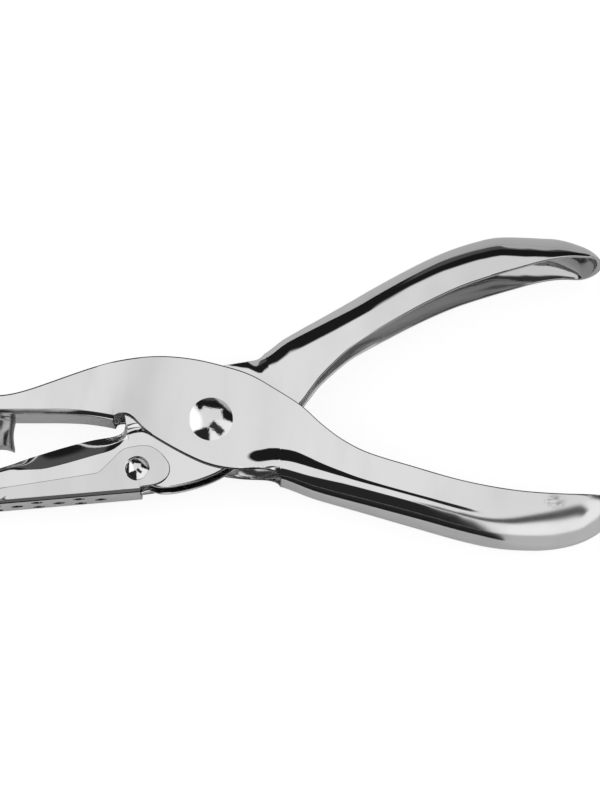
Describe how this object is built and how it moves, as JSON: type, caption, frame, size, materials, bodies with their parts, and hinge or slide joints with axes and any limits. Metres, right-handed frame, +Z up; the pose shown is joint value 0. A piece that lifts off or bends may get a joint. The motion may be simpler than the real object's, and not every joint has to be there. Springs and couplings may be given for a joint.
{
  "type": "single hole punch",
  "caption": "Plier-type hand hole punch of chromed channel levers on a rivet, with a waisted punch pin, spring return and a swinging chip catcher.",
  "frame": {"origin": "Centre of the footprint of the punch lying on its side, on the surface it lies on.", "axes": "+X from the jaws to the handles, +Y from the lower handle to the upper one, +Z up, along the pivot rivet towards its domed head."},
  "size_m": [0.131, 0.0636, 0.019],
  "materials": {
    "plated_sheet": "bright chrome plate on stamped steel",
    "plated_thin_sheet": "chrome plate on thin stamped steel",
    "rivet_metal": "bright plated rivet",
    "tool_steel": "ground tool steel",
    "plain_steel": "plain turned steel",
    "spring_wire": "drawn spring wire"
  },
  "bodies": {
    "outer_body": {"outer_lever": "plated_sheet", "pivot_rivet": "rivet_metal", "pivot_bush": "plain_steel", "punch_pin": "tool_steel", "punch_washer": "plain_steel", "return_spring": "spring_wire"},
    "inner_body": {"inner_lever": "plated_sheet", "catcher_rivets": "rivet_metal"},
    "catcher_body": {"chip_catcher": "plated_thin_sheet"}
  },
  "joints": [
    {"name": "squeeze", "type": "hinge", "parent": "outer_body", "child": "inner_body", "pos_m": [-0.01649, -0.00675, 0.0095], "axis": [0, 0, -1], "range_deg": [0, 7.5], "stiffness_Nm_per_rad": 1.2, "springref_deg": -20.05, "deforming": ["return_spring"]},
    {"name": "catcher_open", "type": "hinge", "parent": "inner_body", "child": "catcher_body", "pos_m": [-0.03112, -0.01667, 0.0095], "axis": [0, 0, 1], "range_deg": [0, 20]}
  ]
}
